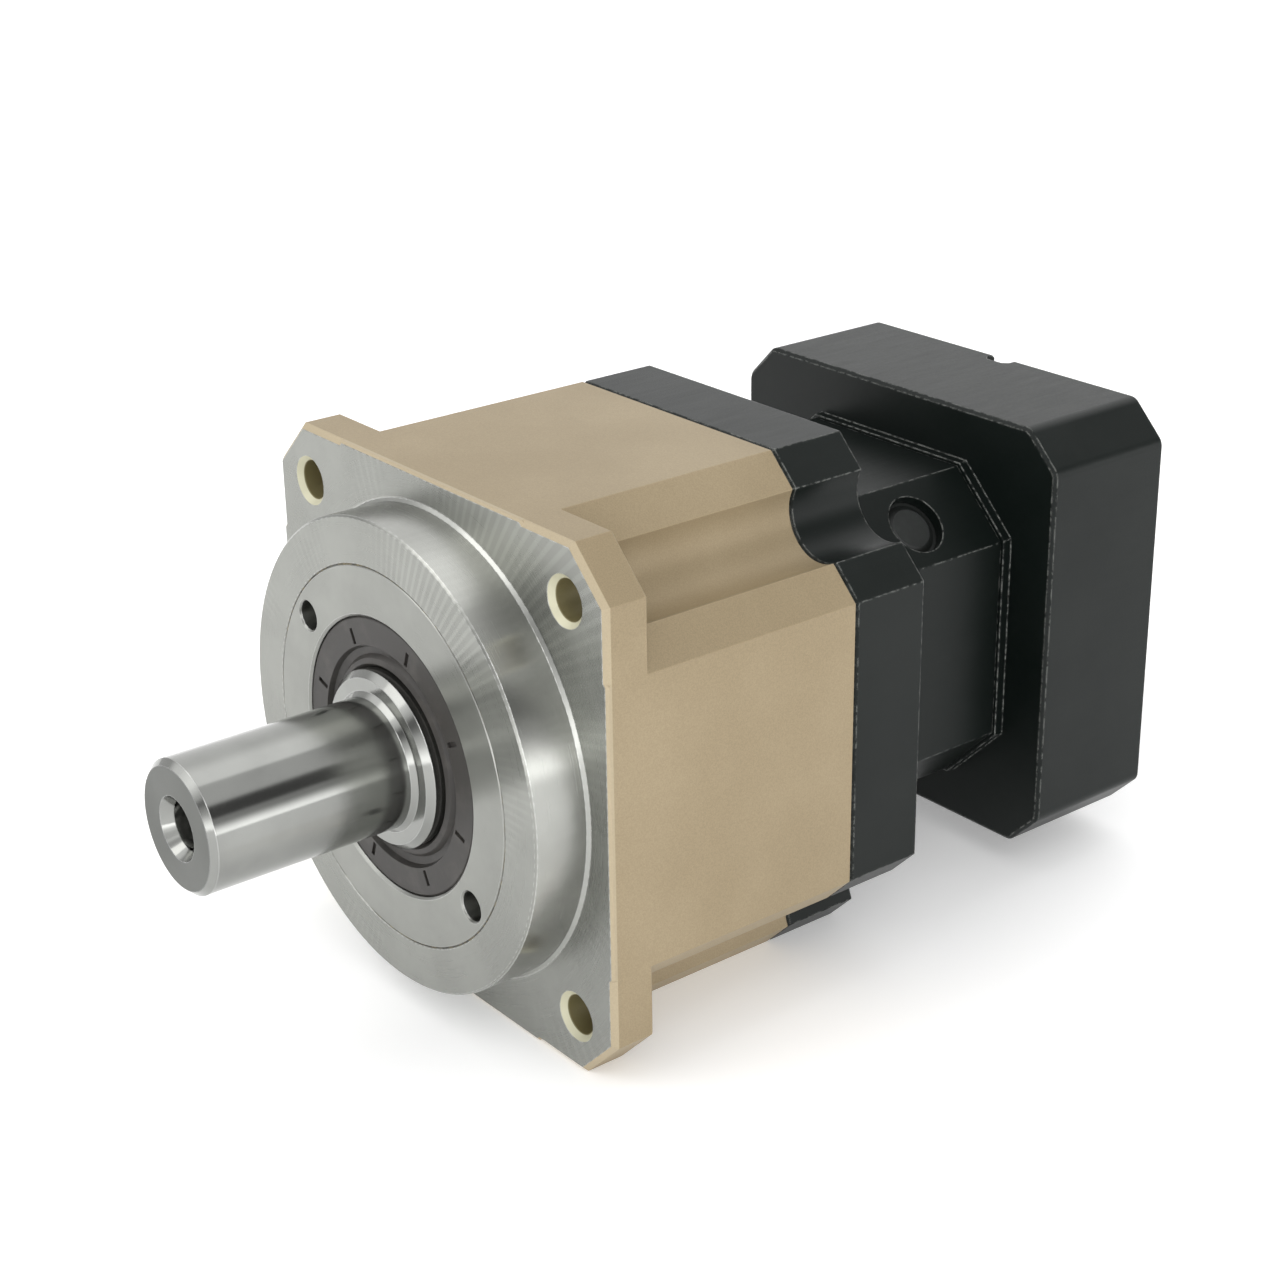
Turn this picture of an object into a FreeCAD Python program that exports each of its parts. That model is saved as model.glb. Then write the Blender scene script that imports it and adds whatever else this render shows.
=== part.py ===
import FreeCAD, Part

import math
import os

# Inline planetary gear reducer, 90 mm frame, single stage, 4:1.
# Millimetres. +Z up, gearbox axis along Y, output shaft towards -Y.
# Origin: centre of the flange's front mounting face, on the gearbox axis.

AXIS = FreeCAD.Vector(0, 1, 0)
ORIGIN = FreeCAD.Vector(0, 0, 0)
running_gap = 0.04

# ---- outer envelope -------------------------------------------------------
frame_side = 90.0
flange_thick = 8.0
flange_corner = 8.0
front_edge_bevel = 0.9
body_corner = 20.3
groove_radius = 7.2
groove_centre_r = 51.4
seam_y = 50.0
rear_section_end_y = 65.0
neck_side = 59.0
neck_corner = 11.2
neck_end_y = 99.2
adapter_front_y = 101.0
adapter_rear_y = 129.0
adapter_side = 79.0
adapter_corner = 6.6
adapter_corner_round = 2.5
boss_side = 60.2
boss_corner = 11.4
edge_break = 0.4

# ---- output side ----------------------------------------------------------
pilot_r = 40.0
pilot_front_y = -10.0
pilot_edge_bevel = 0.35
pilot_root = 0.5
flange_hole_r = 3.3
flange_pcd_r = 50.0
flange_hole_chamfer = 1.0
shaft_end_y = -48.0
shaft_r = 11.0
shaft_shoulder_y = -12.0
seal_journal_r = 15.0
centre_thread_r = 3.4
centre_counter_r = 4.2
centre_mouth_r = 5.3
retaining_ring_r = 32.0
retaining_ring_rear_y = -1.5
spanner_hole_r = 2.5
spanner_hole_circle_r = 28.25
spanner_hole_angle = 141.0
seal_outer_r = 23.5
seal_front_y = -9.6
seal_rear_y = -2.6
garter_depth = 3.9
seal_notch_count = 8
seal_notch_angle = 26.0
seal_notch_inner_r = 19.0
seal_notch_outer_r = 21.6
seal_notch_width = 0.85
seal_notch_depth = 0.5

# ---- bearings: bore radius, outer radius, pitch radius, ball radius -------
front_bearing = dict(bore_r=15.0, outer_r=31.0, pitch_r=23.0, ball_r=4.76, count=9, y0=-1.5, y1=14.5)
rear_bearing = dict(bore_r=20.0, outer_r=34.0, pitch_r=27.0, ball_r=3.17, count=14, y0=17.5, y1=26.5)
input_bearing = dict(bore_r=15.0, outer_r=23.5, pitch_r=19.25, ball_r=2.78, count=13, y0=60.0, y1=69.0)
race_gap = 0.03
pocket_gap = 0.12

# ---- gear train -----------------------------------------------------------
gear_module = 1.0
sun_teeth = 21
planet_teeth = 21
ring_teeth = 63
pressure_angle = math.radians(20.0)
flank_relief = 0.06
planet_count = 3
first_planet_angle = 90.0
planet_orbit_r = gear_module * (sun_teeth + planet_teeth) / 2
ring_outer_r = 37.0
ring_y0 = 33.0
ring_y1 = 54.0
planet_y0 = 33.4
planet_y1 = 49.6
sun_y0 = 33.2
sun_y1 = 50.4
planet_bore_r = 6.0
pin_r = 4.0
needle_r = 0.97
needle_count = 15
washer_r = 9.0
washer_thick = 0.8

# ---- planet carrier -------------------------------------------------------
cheek_r = 29.8
front_cheek_y0 = 27.5
front_cheek_y1 = 32.5
rear_cheek_y0 = 50.5
rear_cheek_y1 = 55.5
rear_cheek_bore_r = 13.0
pillar_r = 7.0
pillar_orbit_r = 21.5

# ---- input side -----------------------------------------------------------
stem_r = 9.0
input_flange_r = 18.0
input_flange_y0 = 57.0
hub_r = 15.0
hub_end_y = 97.0
motor_bore_r = 9.5
motor_bore_y0 = 62.0
hub_slot_width = 2.0
hub_slot_y0 = 79.5
collar_outer_r = 21.5
collar_y0 = 78.8
collar_y1 = 88.6
clamp_y = 83.7
clamp_angle = 45.0
clamp_screw_r = 3.0
clamp_screw_top_r = 22.6
hub_cavity_r = 24.0
access_hole_r = 5.4
plug_recess = 2.2
input_seal_y0 = 71.2
input_seal_y1 = 78.2
motor_pilot_r = 35.0
motor_pilot_depth = 4.0
motor_hole_pcd_r = 45.0
motor_hole_r = 2.5
motor_hole_depth = 18.0
adapter_bore_r = 21.0
adapter_screw_circle_r = 29.2
pry_slot_width = 5.6
pry_slot_depth = 3.0
pry_slot_x = 1.0

# ---- joint between the two housings ---------------------------------------
housing_screw_x = 39.0
housing_screw_z = 20.0
o_ring_r = 39.5
o_ring_width = 1.6
o_ring_depth = 1.2


# ---------------------------------------------------------------- helpers --
def polar(radius, degrees, y):
    """Point at a radius and angle about the gearbox axis, +X towards +Z."""
    a = math.radians(degrees)
    return FreeCAD.Vector(radius * math.cos(a), y, radius * math.sin(a))


def turned(profile):
    """Solid of revolution about Y from (radius, y) points."""
    points = [FreeCAD.Vector(r, y, 0) for r, y in profile]
    face = Part.Face(Part.makePolygon(points + points[:1]))
    return face.revolve(ORIGIN, AXIS, 360)


def rod(radius, y0, y1, x=0.0, z=0.0):
    """Cylinder parallel to the gearbox axis."""
    return Part.makeCylinder(radius, y1 - y0, FreeCAD.Vector(x, y0, z), AXIS)


def tube(inner_r, outer_r, y0, y1):
    """Plain ring about the gearbox axis."""
    return rod(outer_r, y0, y1).cut(rod(inner_r, y0 - 1, y1 + 1))


def cone(r0, r1, y0, y1, x=0.0, z=0.0):
    """Cone frustum parallel to the gearbox axis, radius r0 at y0."""
    return Part.makeCone(r0, r1, y1 - y0, FreeCAD.Vector(x, y0, z), AXIS)


def cut_square(side, corner):
    """Outline of a square with flat 45 degree corners, as (x, z) points."""
    h = side / 2
    k = h - corner
    return [(-h, -k), (-k, -h), (k, -h), (h, -k), (h, k), (k, h), (-k, h), (-h, k)]


def outline_face(outline, y):
    points = [FreeCAD.Vector(x, y, z) for x, z in outline]
    return Part.Face(Part.makePolygon(points + points[:1]))


def prism(outline, y0, y1):
    """Straight prism of an (x, z) outline from y0 to y1."""
    return outline_face(outline, y0).extrude(FreeCAD.Vector(0, y1 - y0, 0))


def bevelled_prism(side, corner, y0, y1, bevel0, bevel1):
    """Square prism with flat corners and a 45 degree bevel round each end face."""
    solid = prism(cut_square(side, corner), y0 + bevel0, y1 - bevel1)
    for outer_y, inner_y, bevel in ((y0, y0 + bevel0, bevel0), (y1, y1 - bevel1, bevel1)):
        if bevel > 0:
            small_corner = corner - bevel * (2 - math.sqrt(2))
            small = Part.makePolygon(closed(cut_square(side - 2 * bevel, small_corner), outer_y))
            large = Part.makePolygon(closed(cut_square(side, corner), inner_y))
            solid = solid.fuse(Part.makeLoft([small, large], True, True))
    return solid.removeSplitter()


def closed(outline, y):
    points = [FreeCAD.Vector(x, y, z) for x, z in outline]
    return points + points[:1]


def around(shape, count, start=0.0):
    """Copies of a shape spaced evenly about the gearbox axis."""
    copies = []
    for i in range(count):
        copy = shape.copy()
        copy.rotate(ORIGIN, AXIS, start + i * 360.0 / count)
        copies.append(copy)
    return copies


def cut_all(shape, tools):
    for tool in tools:
        shape = shape.cut(tool)
    return shape


def corner_positions(x, z):
    return [(x, z), (-x, z), (-x, -z), (x, -z)]


def socket_screw(shank_r, head_r, head_high, head_y, tip_y, hex_across, x, z):
    """Cap screw with its head towards +Y; head_y is the seat under the head."""
    screw = rod(shank_r, tip_y, head_y, x, z)
    screw = screw.fuse(rod(head_r, head_y, head_y + head_high, x, z))
    socket = hexagon(hex_across, head_y + head_high * 0.45, head_y + head_high + 1, x, z)
    return screw.cut(socket).removeSplitter()


def hexagon(across_flats, y0, y1, x=0.0, z=0.0):
    radius = across_flats / math.sqrt(3)
    outline = []
    for i in range(6):
        a = math.radians(60 * i)
        outline.append((x + radius * math.cos(a), z + radius * math.sin(a)))
    return prism(outline, y0, y1)


# ----------------------------------------------------------------- gears --
def involute_angle(radius, base_r):
    """Polar angle swept by the involute between its base circle and a radius."""
    if radius <= base_r:
        return 0.0
    t = math.acos(base_r / radius)
    return math.tan(t) - t


def flank_points(teeth, inner_r, outer_r, relief):
    """(radius, half tooth angle) pairs up one flank of a tooth."""
    pitch_r = gear_module * teeth / 2
    base_r = pitch_r * math.cos(pressure_angle)
    half_at_pitch = math.pi / (2 * teeth) - relief / pitch_r
    at_pitch = involute_angle(pitch_r, base_r)
    points = []
    steps = 7
    for i in range(steps + 1):
        radius = inner_r + (outer_r - inner_r) * i / steps
        points.append((radius, half_at_pitch + at_pitch - involute_angle(radius, base_r)))
    return points


def gear_wire(teeth, root_r, tip_r, relief, phase, y):
    """Closed outline of a gear: two involute flanks, a tip arc and a root arc per tooth."""
    edges = []
    pitch_angle = 2 * math.pi / teeth
    flank = flank_points(teeth, root_r, tip_r, relief)

    def at(radius, angle):
        return FreeCAD.Vector(radius * math.cos(angle), y, radius * math.sin(angle))

    for i in range(teeth):
        centre = phase + i * pitch_angle
        rising = [at(r, centre - half) for r, half in flank]
        falling = [at(r, centre + half) for r, half in reversed(flank)]
        next_root = at(root_r, centre + pitch_angle - flank[0][1])
        edges.append(spline(rising))
        edges.append(Part.Arc(rising[-1], at(tip_r, centre), falling[0]).toShape())
        edges.append(spline(falling))
        edges.append(Part.Arc(falling[-1], at(root_r, centre + pitch_angle / 2), next_root).toShape())
    return Part.Wire(edges)


def spline(points):
    curve = Part.BSplineCurve()
    curve.interpolate(points)
    return curve.toShape()


def external_gear(teeth, phase, y0, y1):
    pitch_r = gear_module * teeth / 2
    root_r = pitch_r - 1.25 * gear_module
    tip_r = pitch_r + 0.98 * gear_module
    wire = gear_wire(teeth, root_r, tip_r, flank_relief, phase, y0)
    return Part.Face(wire).extrude(FreeCAD.Vector(0, y1 - y0, 0))


def internal_tooth_space(phase, y0, y1):
    """The space inside the ring gear: a gear shape whose teeth are the ring's gaps."""
    pitch_r = gear_module * ring_teeth / 2
    tip_r = pitch_r - 0.98 * gear_module
    root_r = pitch_r + 1.25 * gear_module
    wire = gear_wire(ring_teeth, tip_r, root_r, -flank_relief, phase, y0)
    return Part.Face(wire).extrude(FreeCAD.Vector(0, y1 - y0, 0))


def planet_phase(position, sun_phase):
    """Tooth phase of a planet at a position angle that puts it in mesh with the sun."""
    rolled = (position - sun_phase) * sun_teeth / planet_teeth
    return position + math.pi + rolled - math.pi / planet_teeth


def ring_gap_phase(position, phase):
    """Phase of a ring gear gap facing the tooth of a planet at a position angle."""
    planet_step = 2 * math.pi / planet_teeth
    ring_step = 2 * math.pi / ring_teeth
    steps = (position - phase) / planet_step
    return position - steps * ring_step


# ---------------------------------------------------------------- frames --
def body_outline_solid(y0, y1):
    """Square body with flat corners and a round bolt-access groove down each corner."""
    solid = bevelled_prism(frame_side, body_corner, y0, y1, edge_break, edge_break)
    grooves = []
    for angle in (45, 135, 225, 315):
        centre = polar(groove_centre_r, angle, 0)
        grooves.append(rod(groove_radius, y0 - 1, y1 + 1, centre.x, centre.z))
        grooves += groove_mouth_bevels(centre, y0, y1)
    return cut_all(solid, grooves)


def groove_mouth_bevels(centre, y0, y1):
    wide = groove_radius + edge_break
    front = cone(wide, groove_radius, y0, y0 + edge_break, centre.x, centre.z)
    rear = cone(groove_radius, wide, y1 - edge_break, y1, centre.x, centre.z)
    return [front, rear]


def flange_holes():
    """Mounting holes through the flange ears, chamfered at the front."""
    tools = []
    offset = flange_pcd_r / math.sqrt(2)
    wide = flange_hole_r + flange_hole_chamfer
    for x, z in corner_positions(offset, offset):
        tools.append(rod(flange_hole_r, -1, flange_thick + 1, x, z))
        tools.append(cone(wide, flange_hole_r, 0, flange_hole_chamfer, x, z))
    return tools


def output_housing():
    """Flange, pilot and bearing seats in one piece, open at the rear for the ring gear."""
    body = body_outline_solid(0, seam_y)
    flange = bevelled_prism(frame_side, flange_corner, 0, flange_thick, front_edge_bevel, edge_break)
    pilot = turned([(0, pilot_front_y), (pilot_r - pilot_edge_bevel, pilot_front_y),
                    (pilot_r, pilot_front_y + pilot_edge_bevel), (pilot_r, -pilot_root),
                    (pilot_r + pilot_root, 0), (pilot_r + pilot_root, 0.5), (0, 0.5)])
    solid = body.fuse(flange).fuse(pilot)
    bore = turned([(0, pilot_front_y - 1), (retaining_ring_r + 0.25, pilot_front_y - 1),
                   (retaining_ring_r + 0.25, pilot_front_y), (retaining_ring_r, pilot_front_y + 0.25),
                   (retaining_ring_r, retaining_ring_rear_y),
                   (front_bearing["outer_r"], retaining_ring_rear_y),
                   (front_bearing["outer_r"], front_bearing["y1"]), (27.5, front_bearing["y1"]),
                   (27.5, rear_bearing["y0"]), (rear_bearing["outer_r"], rear_bearing["y0"]),
                   (rear_bearing["outer_r"], ring_y0), (ring_outer_r, ring_y0),
                   (ring_outer_r, seam_y + 1), (0, seam_y + 1)])
    solid = solid.cut(bore)
    for x, z in corner_positions(housing_screw_x, housing_screw_z):
        solid = solid.cut(rod(2.5, 34, seam_y + 1, x, z))
    return cut_all(solid, flange_holes()).removeSplitter()


def rear_housing():
    """Rear section with the input bearing seat and the neck that carries the motor adapter."""
    section = body_outline_solid(seam_y, rear_section_end_y)
    neck = prism(cut_square(neck_side, neck_corner), rear_section_end_y - 1, neck_end_y)
    solid = section.fuse(neck)
    cavity = turned([(0, seam_y - 1), (ring_outer_r, seam_y - 1), (ring_outer_r, ring_y1 + 0.3),
                     (32.0, ring_y1 + 0.3), (32.0, 57.8), (input_bearing["outer_r"], 57.8),
                     (input_bearing["outer_r"], 58.2), (24.8, 58.2), (24.8, 60.0),
                     (input_bearing["outer_r"], 60.0), (input_bearing["outer_r"], input_bearing["y1"]),
                     (20.5, input_bearing["y1"]), (20.5, input_seal_y0), (seal_outer_r, input_seal_y0),
                     (seal_outer_r, input_seal_y1), (hub_cavity_r, input_seal_y1 + 0.5),
                     (hub_cavity_r, neck_end_y + 1), (0, neck_end_y + 1)])
    half = o_ring_width / 2
    groove = tube(o_ring_r - half, o_ring_r + half, seam_y - 1, seam_y + o_ring_depth)
    solid = solid.cut(cavity).cut(groove)
    for x, z in corner_positions(housing_screw_x, housing_screw_z):
        solid = solid.cut(rod(2.75, seam_y - 1, rear_section_end_y + 1, x, z))
        solid = solid.cut(rod(4.7, rear_section_end_y - 5.6, rear_section_end_y + 1, x, z))
    offset = adapter_screw_circle_r / math.sqrt(2)
    for x, z in corner_positions(offset, offset):
        solid = solid.cut(rod(2.5, 90, neck_end_y + 1, x, z))
    return solid.cut(access_hole()).removeSplitter()


def access_direction():
    return polar(1, clamp_angle, 0)


def access_hole():
    base = polar(hub_cavity_r - 2, clamp_angle, clamp_y)
    return Part.makeCylinder(access_hole_r, 20, base, access_direction())


def motor_adapter():
    """Square plate between the neck and the motor, with a spigot, a motor pilot and bolt holes."""
    block = prism(cut_square(adapter_side, adapter_corner), adapter_front_y, adapter_rear_y)
    block = block.makeFillet(adapter_corner_round, edges_along_axis(block))
    solid = break_end_edges(block, adapter_front_y, adapter_rear_y)
    solid = solid.fuse(prism(cut_square(boss_side, boss_corner), neck_end_y, adapter_front_y + 1))
    solid = solid.fuse(rod(hub_cavity_r, neck_end_y - 2.2, adapter_front_y + 1))
    pilot_floor = adapter_rear_y - motor_pilot_depth
    bore = turned([(0, adapter_front_y - 6), (adapter_bore_r, adapter_front_y - 6),
                   (adapter_bore_r, pilot_floor), (motor_pilot_r, pilot_floor),
                   (motor_pilot_r, adapter_rear_y - 0.5), (motor_pilot_r + 0.5, adapter_rear_y),
                   (motor_pilot_r + 0.5, adapter_rear_y + 1), (0, adapter_rear_y + 1)])
    solid = solid.cut(bore)
    offset = motor_hole_pcd_r / math.sqrt(2)
    for x, z in corner_positions(offset, offset):
        solid = solid.cut(rod(motor_hole_r, adapter_rear_y - motor_hole_depth, adapter_rear_y + 1, x, z))
        mouth = cone(motor_hole_r, motor_hole_r + 0.6, adapter_rear_y - 0.6, adapter_rear_y, x, z)
        solid = solid.cut(mouth)
    offset = adapter_screw_circle_r / math.sqrt(2)
    for x, z in corner_positions(offset, offset):
        solid = solid.cut(rod(2.75, neck_end_y - 1, pilot_floor, x, z))
        solid = solid.cut(rod(4.7, 110, pilot_floor + 1, x, z))
    return solid.cut(pry_slot()).removeSplitter()


def edges_along_axis(shape):
    """The straight edges that run parallel to the gearbox axis."""
    found = []
    for edge in shape.Edges:
        box = edge.BoundBox
        if box.YLength > 1 and box.XLength < 0.01 and box.ZLength < 0.01:
            found.append(edge)
    return found


def break_end_edges(block, y0, y1):
    """Small bevels round the outline of both end faces."""
    rims = [edge for edge in block.Edges if edge.BoundBox.YLength < 0.01]
    front = [edge for edge in rims if abs(edge.BoundBox.YMin - y0) < 0.01]
    rear = [edge for edge in rims if abs(edge.BoundBox.YMin - y1) < 0.01]
    return block.makeChamfer(0.6, front + rear)


def pry_slot():
    """Round-ended slot in the top rear edge, for levering the motor off."""
    half = pry_slot_width / 2
    top = adapter_side / 2 + 1
    floor_y = adapter_rear_y - pry_slot_depth
    profile = [(pry_slot_x - half, adapter_rear_y + 1), (pry_slot_x - half, floor_y + 1.0),
               (pry_slot_x - half + 1.0, floor_y), (pry_slot_x + half - 1.0, floor_y),
               (pry_slot_x + half, floor_y + 1.0), (pry_slot_x + half, adapter_rear_y + 1)]
    points = [FreeCAD.Vector(x, y, top - 7) for x, y in profile]
    return Part.Face(Part.makePolygon(points + points[:1])).extrude(FreeCAD.Vector(0, 0, 7))


def retaining_ring():
    """Screwed-in ring that holds the front bearing and carries the output seal."""
    y0 = pilot_front_y
    solid = turned([(seal_outer_r + 0.4, y0), (retaining_ring_r - 0.25, y0), (retaining_ring_r, y0 + 0.25),
                    (retaining_ring_r, retaining_ring_rear_y), (21.0, retaining_ring_rear_y),
                    (21.0, seal_rear_y), (seal_outer_r, seal_rear_y), (seal_outer_r, y0 + 0.4)])
    for angle in (spanner_hole_angle, spanner_hole_angle + 180):
        centre = polar(spanner_hole_circle_r, angle, 0)
        solid = solid.cut(rod(spanner_hole_r, y0 - 1, y0 + 5, centre.x, centre.z))
        solid = solid.cut(cone(spanner_hole_r + 0.3, spanner_hole_r, y0, y0 + 0.3, centre.x, centre.z))
    return solid


def shaft_seal(y0, y1, facing):
    """Lip seal on the 30 mm journal; facing -1 puts the dust lip at y0, +1 at y1."""
    lip = seal_journal_r + running_gap
    depth = y1 - y0
    profile = [(seal_outer_r - 0.4, 0), (18.6, 0), (18.2, 0.9), (17.0, 1.2), (16.4, 0.5),
               (lip + 0.5, 0.2), (lip, 0.7), (lip, 1.3), (16.6, 2.3), (16.4, 2.8), (lip, 3.6),
               (lip, 4.2), (15.9, 5.4), (17.4, 5.5), (17.9, 5.0), (18.4, 3.0), (21.2, 2.6),
               (21.4, depth), (seal_outer_r - 0.3, depth), (seal_outer_r, depth - 0.5),
               (seal_outer_r, 0.4)]
    if facing < 0:
        body = turned([(r, y0 + d) for r, d in profile])
        body = cut_all(body, seal_notches(y0))
        return body.cut(garter_spring(y0 + garter_depth))
    body = turned([(r, y1 - d) for r, d in reversed(profile)])
    return body.cut(garter_spring(y1 - garter_depth))


def seal_notches(y0):
    """Short radial notches moulded into the front face of the seal."""
    long = seal_notch_outer_r - seal_notch_inner_r
    corner = FreeCAD.Vector(seal_notch_inner_r, y0 - 1, -seal_notch_width / 2)
    notch = Part.makeBox(long, 1 + seal_notch_depth, seal_notch_width, corner)
    return around(notch, seal_notch_count, -seal_notch_angle)


def garter_spring(y):
    """Ring spring that presses the seal's lip onto its journal."""
    return Part.makeTorus(18.35, 0.42, FreeCAD.Vector(0, y, 0), AXIS)


# --------------------------------------------------------------- bearings --
def land_offset(b):
    return 0.6 * b["ball_r"]


def raceway(b):
    middle = (b["y0"] + b["y1"]) / 2
    return Part.makeTorus(b["pitch_r"], b["ball_r"] + race_gap, FreeCAD.Vector(0, middle, 0), AXIS)


def ring_profile(inner_r, outer_r, y0, y1, chamfer=0.5):
    """Section of a plain ring with all four edges chamfered, as (radius, y) points."""
    c = chamfer
    return [(inner_r, y0 + c), (inner_r + c, y0), (outer_r - c, y0), (outer_r, y0 + c),
            (outer_r, y1 - c), (outer_r - c, y1), (inner_r + c, y1), (inner_r, y1 - c)]


def inner_ring(b):
    land_r = b["pitch_r"] - land_offset(b)
    return turned(ring_profile(b["bore_r"], land_r, b["y0"], b["y1"])).cut(raceway(b))


def outer_ring(b):
    land_r = b["pitch_r"] + land_offset(b)
    return turned(ring_profile(land_r, b["outer_r"], b["y0"], b["y1"])).cut(raceway(b))


def ball(b):
    middle = (b["y0"] + b["y1"]) / 2
    return Part.makeSphere(b["ball_r"], FreeCAD.Vector(b["pitch_r"], middle, 0))


def balls(b):
    return Part.makeCompound(around(ball(b), b["count"]))


def cage(b):
    """Ring with one round radial pocket per ball."""
    middle = (b["y0"] + b["y1"]) / 2
    half_wide = min(b["ball_r"] + 0.9, (b["y1"] - b["y0"]) / 2 - 0.2)
    half_thick = 0.35 * b["ball_r"]
    inner_r = b["pitch_r"] - half_thick
    outer_r = b["pitch_r"] + half_thick
    band = tube(inner_r, outer_r, middle - half_wide, middle + half_wide)
    inside = FreeCAD.Vector(inner_r - 2, middle, 0)
    outward = FreeCAD.Vector(1, 0, 0)
    pocket = Part.makeCylinder(b["ball_r"] + pocket_gap, 2 * half_thick + 4, inside, outward)
    return cut_all(band, around(pocket, b["count"]))


def shaft_circlip(y0, y1, groove_r, outer_r):
    """Open snap ring that sits in a shaft groove."""
    ring = tube(groove_r, outer_r, y0, y1)
    gap = Part.makeBox(outer_r, y1 - y0 + 2, 5, FreeCAD.Vector(0, y0 - 1, -2.5))
    return ring.cut(gap)


def bore_circlip(y0, y1, inner_r, groove_r):
    """Open snap ring that sits in a bore groove, with a gap at the bottom."""
    ring = tube(inner_r, groove_r, y0, y1)
    gap = Part.makeBox(8, y1 - y0 + 2, groove_r, FreeCAD.Vector(-4, y0 - 1, -groove_r - 0.1))
    return ring.cut(gap)


# ----------------------------------------------------------- output shaft --
def planet_angles():
    return [first_planet_angle + i * 360.0 / planet_count for i in range(planet_count)]


def pillar_angles():
    return [angle + 180.0 / planet_count for angle in planet_angles()]


def output_shaft():
    """Plain output shaft, seal journal, bearing seats and front carrier cheek with three pillars."""
    solid = turned([(0, shaft_end_y), (shaft_r - 1.0, shaft_end_y), (shaft_r, shaft_end_y + 1.0),
                    (shaft_r, shaft_shoulder_y - 0.8), (shaft_r + 0.8, shaft_shoulder_y),
                    (seal_journal_r - 1.1, shaft_shoulder_y), (seal_journal_r, shaft_shoulder_y + 1.1),
                    (seal_journal_r, -3.2), (14.3, -3.2), (14.3, -1.5), (seal_journal_r, -1.5),
                    (seal_journal_r, rear_bearing["y0"]), (rear_bearing["bore_r"], rear_bearing["y0"]),
                    (rear_bearing["bore_r"], rear_bearing["y1"]), (24.0, rear_bearing["y1"]),
                    (24.0, front_cheek_y0), (cheek_r - 0.5, front_cheek_y0),
                    (cheek_r, front_cheek_y0 + 0.5), (cheek_r, front_cheek_y1), (0, front_cheek_y1)])
    for angle in pillar_angles():
        centre = polar(pillar_orbit_r, angle, 0)
        solid = solid.fuse(rod(pillar_r, front_cheek_y1 - 0.5, rear_cheek_y0, centre.x, centre.z))
        solid = solid.cut(rod(2.5, 34, rear_cheek_y0 + 1, centre.x, centre.z))
    for angle in planet_angles():
        centre = polar(planet_orbit_r, angle, 0)
        solid = solid.cut(rod(pin_r, front_cheek_y0 + 0.5, front_cheek_y1 + 1, centre.x, centre.z))
    return solid.cut(shaft_centre_hole()).removeSplitter()


def shaft_centre_hole():
    """Threaded centre hole in the shaft end, with a 60 degree mouth and a plain recess."""
    y = shaft_end_y
    return turned([(0, y - 1), (centre_mouth_r, y - 1), (centre_mouth_r, y), (centre_counter_r, y + 1.9),
                   (centre_counter_r, y + 4.5), (centre_thread_r, y + 5.3), (centre_thread_r, y + 21),
                   (0, y + 23)])


def carrier_plate():
    """Rear cheek of the planet carrier."""
    solid = turned([(rear_cheek_bore_r, rear_cheek_y0), (cheek_r, rear_cheek_y0),
                    (cheek_r, rear_cheek_y1 - 0.5), (cheek_r - 0.5, rear_cheek_y1),
                    (rear_cheek_bore_r, rear_cheek_y1)])
    for angle in planet_angles():
        centre = polar(planet_orbit_r, angle, 0)
        solid = solid.cut(rod(pin_r, rear_cheek_y0 - 1, rear_cheek_y1 + 1, centre.x, centre.z))
    for angle in pillar_angles():
        centre = polar(pillar_orbit_r, angle, 0)
        solid = solid.cut(rod(2.7, rear_cheek_y0 - 1, rear_cheek_y1 + 1, centre.x, centre.z))
        solid = solid.cut(cone(2.7, 4.8, rear_cheek_y1 - 2.1, rear_cheek_y1, centre.x, centre.z))
    return solid


def carrier_screws():
    """Three countersunk screws that hold the rear cheek on the pillars."""
    screws = []
    for angle in pillar_angles():
        centre = polar(pillar_orbit_r, angle, 0)
        screw = rod(2.5, 38, rear_cheek_y1 - 2.2, centre.x, centre.z)
        head = cone(2.6, 4.7, rear_cheek_y1 - 2.2, rear_cheek_y1 - 0.1, centre.x, centre.z)
        socket = hexagon(3.0, rear_cheek_y1 - 1.8, rear_cheek_y1 + 1, centre.x, centre.z)
        screws.append(screw.fuse(head).cut(socket))
    return Part.makeCompound(screws)


def planet_pins():
    pins = []
    for angle in planet_angles():
        centre = polar(planet_orbit_r, angle, 0)
        pins.append(rod(pin_r, front_cheek_y0 + 0.6, rear_cheek_y1 - 0.2, centre.x, centre.z))
    return Part.makeCompound(pins)


def planet_washers():
    """Thrust washers at both ends of each planet."""
    washers = []
    spans = ((front_cheek_y1, front_cheek_y1 + washer_thick),
             (rear_cheek_y0 - washer_thick, rear_cheek_y0))
    for angle in planet_angles():
        centre = polar(planet_orbit_r, angle, 0)
        for y0, y1 in spans:
            disc = rod(washer_r, y0, y1, centre.x, centre.z)
            washers.append(disc.cut(rod(pin_r, y0 - 1, y1 + 1, centre.x, centre.z)))
    return Part.makeCompound(washers)


def planet_gear(angle):
    """Planet with its teeth in mesh with the sun and the ring gear."""
    phase = planet_phase(math.radians(angle), 0.0)
    gear = external_gear(planet_teeth, phase, planet_y0, planet_y1)
    gear = gear.cut(rod(planet_bore_r, planet_y0 - 1, planet_y1 + 1))
    gear.translate(polar(planet_orbit_r, angle, 0))
    return gear


def planet_needles(angle):
    """Full set of needle rollers between a planet and its pin."""
    rollers = []
    middle_r = (pin_r + planet_bore_r) / 2
    centre = polar(planet_orbit_r, angle, 0)
    for i in range(needle_count):
        spot = polar(middle_r, i * 360.0 / needle_count, 0) + centre
        rollers.append(rod(needle_r, planet_y0 + 0.4, planet_y1 - 0.4, spot.x, spot.z))
    return Part.makeCompound(rollers)


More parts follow.
